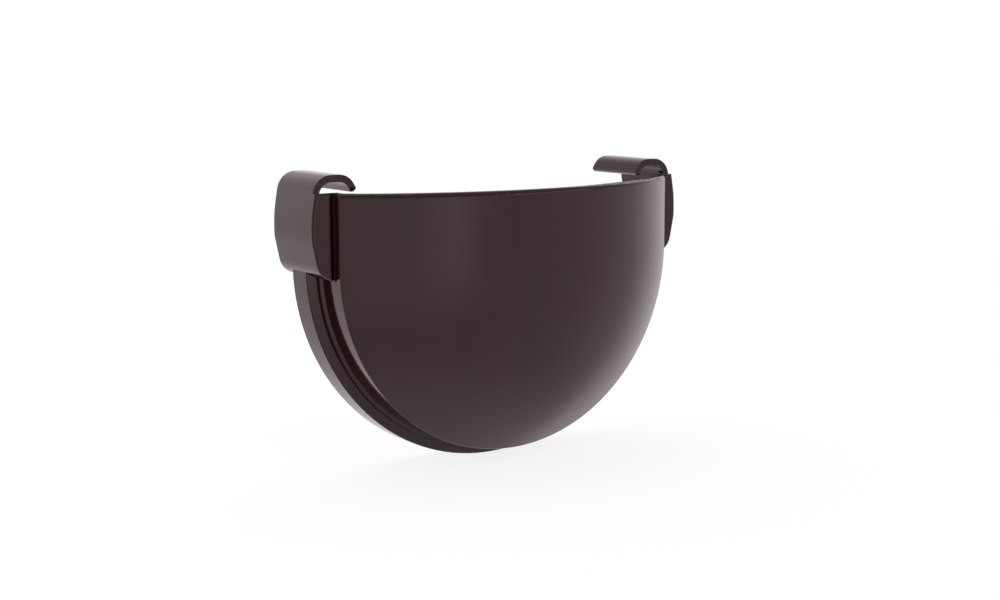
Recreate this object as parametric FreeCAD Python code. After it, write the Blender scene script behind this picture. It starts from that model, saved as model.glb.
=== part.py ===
"""End cap for a half-round gutter: one moulding with a domed face, a stepped rim and two snap clips.

The origin is on the axis of the half-round, in the plane where the gutter's end stops.
The domed face looks along -Y, the gutter comes in from +Y, and +Z is up.
"""
import FreeCAD, Part
import math
import os

from FreeCAD import Vector

# Gutter and wall
gutter_radius = 62.5
gutter_clearance = 0.4
wall = 2.2

# Rim, from the collar over the gutter's end to the edge of the dome
socket_depth = 7.4
leg_height = 22.35
shoulder_wall = 1.9
shoulder_width = 2.8
shoulder_round = 0.4
ridge_width = 1.05
ridge_depth = 1.55
ridge_draft = 9.0
front_slope = 14.5
rim_depth = 13.25
collar_chamfer = 0.6

# Domed face
dome_bulge = 20.8
dome_edge_round = 0.3
top_round = 1.3

# Clip on each side: a wall that bulges outwards and ends in a hook over the gutter's bead
clip_overhang = 5.35
bulge_reach = 2.85
bulge_height = 15.2
bulge_round = 40.0
side_height = 9.75
side_radius = 12.0
side_turn = 11.8
taper_length = 6.2
lip_radius = 5.9
flare_angle = 10.0
hook_rise = 5.2
hook_radius = 6.1
hook_flat = 2.8
tip_radius = 5.5
tip_turn = 58.0
tip_length = 1.7
tip_crown = 0.4

# Front plate that closes each clip, with a rib and a slot between it and the dome
plate_set_back = 2.95
plate_round = 0.95
rib_set_back = 2.7
rib_width = 0.3
slot_width = 0.8
slot_depth = 1.6

# Notch in the top of the side wall, behind each front plate, that lets the hook spring
relief_depth = 4.5

# Places that follow from the sizes above
socket_radius = gutter_radius + gutter_clearance
collar_radius = socket_radius + wall
ridge_foot_radius = collar_radius - shoulder_width
ridge_radius = ridge_foot_radius - ridge_depth * math.tan(math.radians(ridge_draft))
dome_radius = ridge_radius - ridge_width
hollow_radius = dome_radius - wall
wall_middle = dome_radius - wall / 2

stop_y = 0.0
rise_per_width = math.tan(math.radians(front_slope))
shoulder_y = stop_y - shoulder_wall
ridge_foot_y = shoulder_y - shoulder_width * rise_per_width
ridge_y = ridge_foot_y - ridge_depth
ridge_top_y = ridge_y - ridge_width * rise_per_width
edge_y = shoulder_y - rim_depth
crown_y = edge_y - dome_bulge
plate_y = edge_y + plate_set_back
rib_y = edge_y + rib_set_back
clip_front_y = plate_y + wall
clip_back_y = socket_depth + clip_overhang

sphere_radius = (dome_radius ** 2 + dome_bulge ** 2) / (2 * dome_bulge)
sphere_y = crown_y + sphere_radius
hollow_sphere_radius = sphere_radius - wall

across = Vector(1, 0, 0)
backwards = Vector(0, 1, 0)
upwards = Vector(0, 0, 1)
origin = Vector(0, 0, 0)


def in_plan(x, y):
    """A point of the level plane through the axis."""
    return Vector(x, y, 0)


def in_front(x, z):
    """A point of the upright plane across the axis."""
    return Vector(x, 0, z)


def line(start, end):
    return Part.makeLine(start, end)


def arc(start, middle, end):
    return Part.Arc(start, middle, end).toShape()


def turn_arc(centre, radius, start_turn, end_turn):
    """An arc of the upright plane, from one turn to another, in degrees up from +X."""
    points = []
    for turn in (start_turn, (start_turn + end_turn) / 2, end_turn):
        angle = math.radians(turn)
        points.append(centre + in_front(radius * math.cos(angle), radius * math.sin(angle)))
    return arc(*points)


def rounded_path(corners):
    """Lines through (point, radius) corners, with an arc at each corner that has a radius."""
    edges = []
    start = corners[0][0]
    for index in range(1, len(corners) - 1):
        point, radius = corners[index]
        back = (corners[index - 1][0] - point).normalize()
        ahead = (corners[index + 1][0] - point).normalize()
        half = back.getAngle(ahead) / 2
        reach = radius / math.tan(half)
        edges.append(line(start, point + back * reach))
        if radius:
            centre = point + (back + ahead).normalize() * (radius / math.sin(half))
            middle = centre + (point - centre).normalize() * radius
            edges.append(arc(point + back * reach, middle, point + ahead * reach))
        start = point + ahead * reach
    edges.append(line(start, corners[-1][0]))
    return edges


def face_of(edges):
    return Part.Face(Part.Wire(Part.__sortEdges__(edges)))


def u_block(radius, front_y, back_y):
    """A block with the gutter's outline, a half-round below two straight legs, from front to back."""
    corners = [in_front(radius, 0), in_front(radius, leg_height)]
    corners += [in_front(-radius, leg_height), in_front(-radius, 0)]
    outline = [turn_arc(origin, radius, -180, 0)]
    for start, end in zip(corners, corners[1:]):
        outline.append(line(start, end))
    face = face_of(outline)
    face.translate(backwards * front_y)
    return face.extrude(backwards * (back_y - front_y))


def ball_drum(radius):
    """An upright drum with a ball end below, about the dome's centre."""
    centre = in_plan(0, sphere_y)
    drum = Part.makeCylinder(radius, leg_height, centre, upwards)
    ball = Part.makeSphere(radius, centre, upwards, -90, 0, 360)
    return drum.fuse(ball)


def domed_shell():
    """Domed face and side wall: a drum inside the gutter's outline, hollowed, with its edges softened."""
    drum = ball_drum(sphere_radius)
    top_edges = [edge for edge in drum.Edges if edge.BoundBox.ZMin > leg_height / 2]
    drum = drum.makeFillet(top_round, top_edges)
    hollow = u_block(hollow_radius, crown_y, stop_y).common(ball_drum(hollow_sphere_radius))
    shell = u_block(dome_radius, crown_y, stop_y).common(drum).cut(hollow).removeSplitter()
    dome_edges = []
    for edge in shell.Edges:
        ahead = abs(edge.BoundBox.YMin - edge_y) < dome_edge_round
        behind = abs(edge.BoundBox.YMax - edge_y) < dome_edge_round
        if ahead and behind:
            dome_edges.append(edge)
    return shell.makeFillet(dome_edge_round, dome_edges)


def rim():
    """Ridge, shoulder and collar: their section, turned about the axis through the lower half."""
    section = rounded_path([
        (in_plan(wall_middle, stop_y), 0),
        (in_plan(wall_middle, ridge_top_y), 0),
        (in_plan(dome_radius, ridge_top_y), 0),
        (in_plan(ridge_radius, ridge_y), 0),
        (in_plan(ridge_foot_radius, ridge_foot_y), 0),
        (in_plan(collar_radius, shoulder_y), shoulder_round),
        (in_plan(collar_radius, socket_depth - collar_chamfer), 0),
        (in_plan(collar_radius - collar_chamfer, socket_depth), 0),
        (in_plan(socket_radius + collar_chamfer, socket_depth), 0),
        (in_plan(socket_radius, socket_depth - collar_chamfer), 0),
        (in_plan(socket_radius, stop_y), 0),
        (in_plan(wall_middle, stop_y), 0),
    ])
    return face_of(section).revolve(origin, backwards, 180)


def other_side(shape):
    return shape.mirror(origin, across)


def tip_heading():
    """The way in which the hook's tip points."""
    turn = math.radians(180 + tip_turn)
    return in_front(math.cos(turn), math.sin(turn))


def clip_path(inset):
    """The clip's outline, set in from its outside: the bulged wall, and the hook above it.

    Returns the edges of each, from the lip under the clip to the bulge, and from there to the tip.
    """
    bulge_x = collar_radius + bulge_reach
    side_centre = in_front(bulge_x - side_radius, side_height)
    side_bend = turn_arc(side_centre, side_radius - inset, -side_turn, 0)
    turn = math.radians(side_turn)
    outwards = in_front(math.cos(turn), -math.sin(turn))
    downwards = in_front(-math.sin(turn), -math.cos(turn))
    lip_centre = side_centre + outwards * (side_radius - lip_radius) + downwards * taper_length
    lip_turn = math.degrees(math.acos((wall_middle - lip_centre.x) / (lip_radius - inset)))
    lip_bend = turn_arc(lip_centre, lip_radius - inset, -lip_turn, -side_turn)
    flare = math.radians(flare_angle)
    bulge_centre = in_front(bulge_x - bulge_round, bulge_height - bulge_round * math.tan(flare / 2))
    bulge_bend = turn_arc(bulge_centre, bulge_round - inset, 0, flare_angle)
    bulged = [
        lip_bend,
        line(lip_bend.lastVertex().Point, side_bend.firstVertex().Point),
        side_bend,
        line(side_bend.lastVertex().Point, bulge_bend.firstVertex().Point),
        bulge_bend,
    ]

    hook_top = leg_height + hook_rise
    hook_z = hook_top - hook_radius
    hook_reach = (hook_radius + (hook_z - bulge_height) * math.sin(flare)) / math.cos(flare)
    hook_centre = in_front(bulge_x - hook_reach, hook_z)
    tip_centre = in_front(hook_centre.x - hook_flat, hook_top - tip_radius)
    bend = turn_arc(hook_centre, hook_radius - inset, flare_angle, 90)
    tip_bend = turn_arc(tip_centre, tip_radius - inset, 90, 90 + tip_turn)
    tip_start = tip_bend.lastVertex().Point
    hooked = [
        line(bulge_bend.lastVertex().Point, bend.firstVertex().Point),
        bend,
        line(bend.lastVertex().Point, tip_bend.firstVertex().Point),
        tip_bend,
        line(tip_start, tip_start + tip_heading() * tip_length),
    ]
    return bulged, hooked


def clip_band():
    """The clip's wall and hook: one bent band, from behind the front plate to the back."""
    outer_bulged, outer_hooked = clip_path(0)
    inner_bulged, inner_hooked = clip_path(wall)
    tip_outer = outer_hooked[-1].lastVertex().Point
    tip_inner = inner_hooked[-1].lastVertex().Point
    tip_middle = (tip_outer + tip_inner) / 2 + tip_heading() * tip_crown
    edges = outer_bulged + outer_hooked + inner_bulged + inner_hooked
    edges.append(arc(tip_outer, tip_middle, tip_inner))
    edges.append(line(outer_bulged[0].firstVertex().Point, inner_bulged[0].firstVertex().Point))
    band = face_of(edges)
    band.translate(backwards * clip_front_y)
    return band.extrude(backwards * (clip_back_y - clip_front_y))


def plate_outline():
    """The front plate's outline: the clip's outside up to the top of the legs, closed inside the wall."""
    bulged, hooked = clip_path(0)
    lip_end = bulged[0].firstVertex().Point
    flare_start = hooked[0].firstVertex().Point
    flare = hooked[0].lastVertex().Point - flare_start
    top_outer = flare_start + flare * ((leg_height - flare_start.z) / flare.z)
    top_inner = in_front(wall_middle, leg_height)
    closing = [line(flare_start, top_outer), line(top_outer, top_inner), line(top_inner, lip_end)]
    return face_of(bulged + closing)


def plate_blank(front_y):
    """The plate's outline as a solid, from a given front to where the clip's band starts."""
    outline = plate_outline()
    outline.translate(backwards * front_y)
    return outline.extrude(backwards * (clip_front_y - front_y))


def upright(plan):
    """A closed plan drawn out over the whole height of the cap, to cut or keep a strip of the plate."""
    edges = [line(start, end) for start, end in zip(plan, plan[1:] + plan[:1])]
    face = face_of(edges)
    face.translate(upwards * -collar_radius)
    return face.extrude(upwards * (collar_radius + leg_height))


def front_plate():
    """The plate that closes the clip, rounded outside, with the rib and slot along the dome's wall."""
    plate = plate_blank(plate_y)
    outer_edges = []
    for edge in plate.Edges:
        if edge.BoundBox.YMax < plate_y + wall / 2 and edge.BoundBox.XMax > dome_radius:
            outer_edges.append(edge)
    plate = plate.makeFillet(plate_round, outer_edges)
    rib_x = dome_radius + rib_width
    slot_end_x = rib_x + slot_width
    slot_floor_y = plate_y + slot_depth
    slot = upright([
        in_plan(rib_x, plate_y),
        in_plan(slot_end_x, plate_y),
        in_plan(slot_end_x, slot_floor_y),
        in_plan(rib_x, slot_floor_y),
    ])
    rib_strip = upright([
        in_plan(wall_middle, rib_y),
        in_plan(rib_x, rib_y),
        in_plan(rib_x, clip_front_y),
        in_plan(wall_middle, clip_front_y),
    ])
    return plate.cut(slot).fuse(plate_blank(rib_y).common(rib_strip))


def hook_relief():
    """The space of the notch, from the front plate's back to the gutter's end, through the side wall."""
    corner = Vector(wall_middle - wall, clip_front_y, leg_height - relief_depth)
    return Part.makeBox(2 * wall, stop_y - clip_front_y, relief_depth, corner)


def end_cap():
    gutter_space = u_block(socket_radius, stop_y, clip_back_y + wall)
    clip = clip_band().cut(gutter_space).fuse(front_plate())
    shell = domed_shell().cut([hook_relief(), other_side(hook_relief())])
    return shell.fuse([rim(), clip, other_side(clip)]).removeSplitter()


os.makedirs("parts", exist_ok=True)
cap = end_cap()
print("solids", len(cap.Solids), "valid", cap.isValid(), "volume mm3", round(cap.Volume))
cap.Solids[0].exportStep("parts/end_cap.step")
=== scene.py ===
"""Looks of the half-round gutter end cap: glossy dark brown PVC on a white studio table."""
import math

import bmesh
import bpy
from mathutils import Matrix, Vector


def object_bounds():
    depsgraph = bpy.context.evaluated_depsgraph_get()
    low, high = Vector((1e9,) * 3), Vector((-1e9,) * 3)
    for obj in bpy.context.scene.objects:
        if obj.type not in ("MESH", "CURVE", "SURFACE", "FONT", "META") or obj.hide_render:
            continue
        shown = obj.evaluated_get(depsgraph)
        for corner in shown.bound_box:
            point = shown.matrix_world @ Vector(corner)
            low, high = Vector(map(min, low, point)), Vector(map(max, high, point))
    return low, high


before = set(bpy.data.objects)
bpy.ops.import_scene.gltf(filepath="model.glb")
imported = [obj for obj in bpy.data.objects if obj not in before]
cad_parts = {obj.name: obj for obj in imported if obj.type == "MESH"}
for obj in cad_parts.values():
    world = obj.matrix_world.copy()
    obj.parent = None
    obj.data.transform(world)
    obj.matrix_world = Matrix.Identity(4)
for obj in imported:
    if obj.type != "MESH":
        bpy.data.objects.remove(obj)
cad_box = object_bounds()

MM = 0.001

# Camera: how far it looks to the right of straight on and downwards, and its roll, in degrees, then in mm
# how far it is from the point that it aims at and the nearest that it sees
view_yaw = 34.11
view_pitch = 8.61
view_roll = -0.246
view_distance = 503.3
view_target = (-4.93, -15.15, -13.44)
nearest_seen = 10.0

# Its lens, as the focal length in pixels of a picture this wide, on a sensor in mm
picture_width = 1000
focal_pixels = 1621.0
sensor_width = 36.0

# Table: a round white sheet that the rim stands on, in mm. The camera sees its own white, as a level, and on
# top of it a grey that takes the cap's shadow. The light that it sends back to the cap is that of white paper.
table_height = cad_box[0].z / MM
table_radius = 900.0
table_sides = 128
table_white = 0.84
shadow_grey = "818181"
paper_white = "f4f4f4"

# Plastic: how it bends light, the strength of its gloss, where 0.5 is all that this gives, and its white
pvc_ior = 1.53
gloss_strength = 0.31
gloss_white = "fffaf9"

# The two browns of its flow marks and the paler one of its outer edges, which is partly wear and partly a
# painted edge highlight, how rough the gloss, a scuff and a rubbed edge are, and in mm how far the paler
# edge reaches and how high the waves of the skin are
flow_browns = ("1c0909", "2d1010")
edge_wear_and_highlight_brown = "4a3537"
gloss_roughness = (0.07, 0.1)
scuff_roughness = 0.14
rub_roughness = 0.22
wear_and_highlight_reach = 0.35
wave_height = 0.008

# The sizes in mm along X, Y and Z of the cloudy patches that these follow. The scuffs are drawn coarser than
# real hairlines, which would be too fine to show.
patch_sizes = {
    "flow": (14, 14, 60),
    "edge_wear_and_highlight": (12, 12, 12),
    "scuff": (16, 0.7, 0.7),
    "wave": (9, 9, 9),
}

# The greys of a patch at which the gloss is clearest and haziest, and at which a scuff starts and is full
haze_greys = (0.3, 0.7)
scuff_greys = (0.66, 0.72)

# An edge is found by rays into the solid: the share of them that meets no wall within the reach of the paler
# edge falls towards an outer edge, and the paler edge, part wear and part painted highlight, starts and is
# full at these shares
edge_rays = 6
wear_and_highlight_shares = (0.9, 0.5)

# Studio: the faintly rosy white of its walls and their level away from any light, then soft fields of light
# around the cap, each over the one before. A field has its middle, half its width and its lower and upper
# ends in degrees, a soft edge and a level. Degrees count round from straight in front towards the left, and
# up from level. An end past 90 degrees, or a half past 180, leaves no edge there.
studio_white = "fff4fb"
studio_level = 0.58
studio_fields = {
    "front wall": {"middle": -45, "half": 95, "low": -110, "high": 3, "edge": 6, "level": 1.04},
    "front left": {"middle": 28, "half": 22, "low": -24, "high": 3, "edge": 10, "level": 1.2},
    "floor": {"middle": 0, "half": 200, "low": -110, "high": -50, "edge": 14, "level": 1.42},
    "backdrop": {"middle": 186, "half": 82, "low": -110, "high": 38, "edge": 16, "level": 1.22},
    "right wall": {"middle": -122, "half": 30, "low": -110, "high": 8, "edge": 14, "level": 1.5},
    "right gap": {"middle": -148, "half": 20, "low": -24, "high": 26, "edge": 7, "level": 0.9},
    "right floor": {"middle": -112, "half": 24, "low": -66, "high": -36, "edge": 14, "level": 2.0},
    "back strip": {"middle": 158, "half": 26, "low": 0, "high": 12, "edge": 4, "level": 1.34},
    "front strip": {"middle": 4, "half": 6, "low": -14, "high": 20, "edge": 16, "level": 2.1},
    "front box": {"middle": -29, "half": 28, "low": 6, "high": 22, "edge": 4, "level": 1.95},
    "top light": {"middle": 180, "half": 80, "low": 58, "high": 110, "edge": 8, "level": 1.6},
}

# What the camera sees of the studio behind the cap
seen_white = "ffffff"


def linear(hex_colour):
    """An sRGB hex colour as linear red, green, blue and alpha."""
    channels = []
    for start in (0, 2, 4):
        value = int(hex_colour[start:start + 2], 16) / 255
        channels.append(value / 12.92 if value <= 0.04045 else ((value + 0.055) / 1.055) ** 2.4)
    return (*channels, 1.0)


def add_node(tree, kind, settings=None, links=None):
    """One node with its settings and links: numbers and names of inputs set those, other names properties."""
    node = tree.nodes.new(kind)
    for name, value in (settings or {}).items():
        if isinstance(name, int) or name in node.inputs:
            node.inputs[name].default_value = value
        else:
            setattr(node, name, value)
    for name, socket in (links or {}).items():
        tree.links.new(socket, node.inputs[name])
    return node


def moulded_pvc():
    """Rigid PVC, injection moulded in a polished tool: a dark chocolate body under a clear gloss.

    Flow marks from the filling of the mould vary the brown and its gloss, a slight waviness of the skin bends
    what it mirrors, fine scuffs dull it in hairlines, and the outer edges are a little paler, partly from
    handling wear and partly as a painted edge highlight.
    """
    material = bpy.data.materials.new("moulded_brown_pvc")
    material.use_nodes = True
    tree = material.node_tree
    tree.nodes.clear()
    place = add_node(tree, "ShaderNodeTexCoord")
    patches = {}
    for name, size in patch_sizes.items():
        scaled = add_node(tree, "ShaderNodeMapping", {"Scale": [1 / (length * MM) for length in size]}, {
            "Vector": place.outputs["Object"],
        })
        cloud = add_node(tree, "ShaderNodeTexNoise", {"Scale": 1.0}, {"Vector": scaled.outputs[0]})
        patches[name] = cloud.outputs["Fac"]

    depth = add_node(tree, "ShaderNodeAmbientOcclusion", {
        "samples": edge_rays,
        "inside": True,
        "only_local": True,
        "Distance": wear_and_highlight_reach * MM,
    })
    # Outer edges: duller from wear, and paler partly from wear and partly as a painted highlight along the
    # edge
    wear_and_highlight_start, wear_and_highlight_full = wear_and_highlight_shares
    edge_wear_and_highlight = add_node(tree, "ShaderNodeMapRange", {"From Min": wear_and_highlight_start, "From Max": wear_and_highlight_full}, {
        "Value": depth.outputs["AO"],
        "To Max": patches["edge_wear_and_highlight"],
    })
    dark, light = flow_browns
    brown = add_node(tree, "ShaderNodeMix", {"data_type": "RGBA", 6: linear(dark), 7: linear(light)}, {
        "Factor": patches["flow"],
    })
    # The paler brown on outer edges is partly wear and partly a painted edge highlight
    colour = add_node(tree, "ShaderNodeMix", {"data_type": "RGBA", 7: linear(edge_wear_and_highlight_brown)}, {
        "Factor": edge_wear_and_highlight.outputs["Result"],
        6: brown.outputs[2],
    })

    clear, hazy = gloss_roughness
    haze_start, haze_full = haze_greys
    gloss = add_node(tree, "ShaderNodeMapRange", {
        "From Min": haze_start,
        "From Max": haze_full,
        "To Min": clear,
        "To Max": hazy,
    }, {"Value": patches["flow"]})
    scuff_start, scuff_full = scuff_greys
    scuffed = add_node(tree, "ShaderNodeMapRange", {
        "From Min": scuff_start,
        "From Max": scuff_full,
        "To Max": scuff_roughness,
    }, {
        "Value": patches["scuff"],
        "To Min": gloss.outputs["Result"],
    })
    dulled = add_node(tree, "ShaderNodeMapRange", {"To Max": rub_roughness}, {
        "Value": edge_wear_and_highlight.outputs["Result"],
        "To Min": scuffed.outputs["Result"],
    })
    waves = add_node(tree, "ShaderNodeBump", {"Strength": 1.0, "Distance": wave_height * MM}, {
        "Height": patches["wave"],
    })
    shader = add_node(tree, "ShaderNodeBsdfPrincipled", {
        "IOR": pvc_ior,
        "Specular IOR Level": gloss_strength,
        "Specular Tint": linear(gloss_white),
    }, {
        "Base Color": colour.outputs[2],
        "Roughness": dulled.outputs["Result"],
        "Normal": waves.outputs["Normal"],
    })
    add_node(tree, "ShaderNodeOutputMaterial", links={"Surface": shader.outputs["BSDF"]})
    return material


def place_camera():
    """The camera at the place and angle that the outlines in the photo give."""
    yaw = math.radians(view_yaw)
    pitch = math.radians(view_pitch)
    ahead = Vector((math.sin(yaw) * math.cos(pitch), math.cos(yaw) * math.cos(pitch), -math.sin(pitch)))
    right = Vector((math.cos(yaw), -math.sin(yaw), 0))
    up = right.cross(ahead)
    turn = Matrix((right, up, -ahead)).transposed() @ Matrix.Rotation(math.radians(view_roll), 3, "Z")
    eye = (Vector(view_target) - ahead * view_distance) * MM
    data = bpy.data.cameras.new("photo_camera")
    data.sensor_fit = "HORIZONTAL"
    data.sensor_width = sensor_width
    data.lens = focal_pixels / picture_width * sensor_width
    data.clip_start = nearest_seen * MM
    camera = bpy.data.objects.new("photo_camera", data)
    camera.matrix_world = Matrix.Translation(eye) @ turn.to_4x4()
    bpy.context.scene.collection.objects.link(camera)
    bpy.context.scene.camera = camera


def white_sheet():
    """White paper: the camera sees its white and the cap's faint shadow, and mirrors see the studio."""
    material = bpy.data.materials.new("white_paper_sheet")
    material.use_nodes = True
    tree = material.node_tree
    tree.nodes.clear()
    paper = add_node(tree, "ShaderNodeBsdfDiffuse", {"Color": linear(paper_white)})
    white = add_node(tree, "ShaderNodeEmission", {"Strength": table_white})
    shade = add_node(tree, "ShaderNodeBsdfDiffuse", {"Color": linear(shadow_grey)})
    seen = add_node(tree, "ShaderNodeAddShader", links={0: white.outputs[0], 1: shade.outputs[0]})
    path = add_node(tree, "ShaderNodeLightPath")
    look = add_node(tree, "ShaderNodeMixShader", links={
        0: path.outputs["Is Camera Ray"],
        1: paper.outputs[0],
        2: seen.outputs[0],
    })
    mirrored = add_node(tree, "ShaderNodeMath", {"operation": "MAXIMUM"}, {
        0: path.outputs["Is Glossy Ray"],
        1: path.outputs["Is Transmission Ray"],
    })
    clear = add_node(tree, "ShaderNodeBsdfTransparent")
    sheet = add_node(tree, "ShaderNodeMixShader", links={
        0: mirrored.outputs[0],
        1: look.outputs[0],
        2: clear.outputs[0],
    })
    add_node(tree, "ShaderNodeOutputMaterial", links={"Surface": sheet.outputs[0]})
    return material


def lay_table():
    """The round sheet under the rim, which belongs to the studio and not to the cap."""
    mesh = bpy.data.meshes.new("studio_table")
    shape = bmesh.new()
    bmesh.ops.create_circle(shape, cap_ends=True, segments=table_sides, radius=table_radius * MM)
    bmesh.ops.translate(shape, verts=shape.verts, vec=(0, 0, table_height * MM))
    shape.to_mesh(mesh)
    shape.free()
    mesh.materials.append(white_sheet())
    table = bpy.data.objects.new("studio_table", mesh)
    bpy.context.scene.collection.objects.link(table)


def light_studio():
    """A pale world whose level changes softly with the direction, and plain white to the camera."""
    world = bpy.data.worlds.new("white_studio")
    world.use_nodes = True
    tree = world.node_tree
    tree.nodes.clear()
    place = add_node(tree, "ShaderNodeTexCoord")
    axes = add_node(tree, "ShaderNodeSeparateXYZ", links={0: place.outputs["Generated"]})
    rise = add_node(tree, "ShaderNodeMath", {"operation": "ARCSINE"}, {0: axes.outputs["Z"]})
    flat = add_node(tree, "ShaderNodeCombineXYZ", links={"X": axes.outputs["X"], "Y": axes.outputs["Y"]})
    heading = add_node(tree, "ShaderNodeVectorMath", {"operation": "NORMALIZE"}, {0: flat.outputs[0]})
    level = add_node(tree, "ShaderNodeValue").outputs[0]
    level.default_value = studio_level
    for field in studio_fields.values():
        middle = math.radians(field["middle"])
        facing = add_node(tree, "ShaderNodeVectorMath", {
            "operation": "DOT_PRODUCT",
            1: (-math.sin(middle), -math.cos(middle), 0),
        }, {0: heading.outputs[0]})
        turn = add_node(tree, "ShaderNodeMath", {"operation": "ARCCOSINE"}, {0: facing.outputs["Value"]})
        edge = math.radians(field["edge"])
        half = math.radians(field["half"])
        low = math.radians(field["low"])
        high = math.radians(field["high"])
        mask = None
        for way, outside, inside in (
            (turn, half + edge, half - edge),
            (rise, low - edge, low + edge),
            (rise, high + edge, high - edge),
        ):
            links = {"Value": way.outputs[0]}
            if mask:
                links["To Max"] = mask.outputs["Result"]
            mask = add_node(tree, "ShaderNodeMapRange", {
                "interpolation_type": "SMOOTHSTEP",
                "From Min": outside,
                "From Max": inside,
            }, links)
        mix = add_node(tree, "ShaderNodeMix", {"data_type": "FLOAT", "B": field["level"]}, {
            "Factor": mask.outputs["Result"],
            "A": level,
        })
        level = mix.outputs["Result"]
    path = add_node(tree, "ShaderNodeLightPath")
    walls = add_node(tree, "ShaderNodeBackground", {"Color": linear(studio_white)}, {"Strength": level})
    white = add_node(tree, "ShaderNodeBackground", {"Color": linear(seen_white)})
    seen = add_node(tree, "ShaderNodeMixShader", links={
        0: path.outputs["Is Camera Ray"],
        1: walls.outputs[0],
        2: white.outputs[0],
    })
    add_node(tree, "ShaderNodeOutputWorld", links={"Surface": seen.outputs[0]})
    bpy.context.scene.world = world


pvc = moulded_pvc()
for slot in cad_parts["end_cap"].material_slots:
    slot.material = pvc

place_camera()
lay_table()
light_studio()
bpy.context.scene.view_settings.view_transform = "Standard"
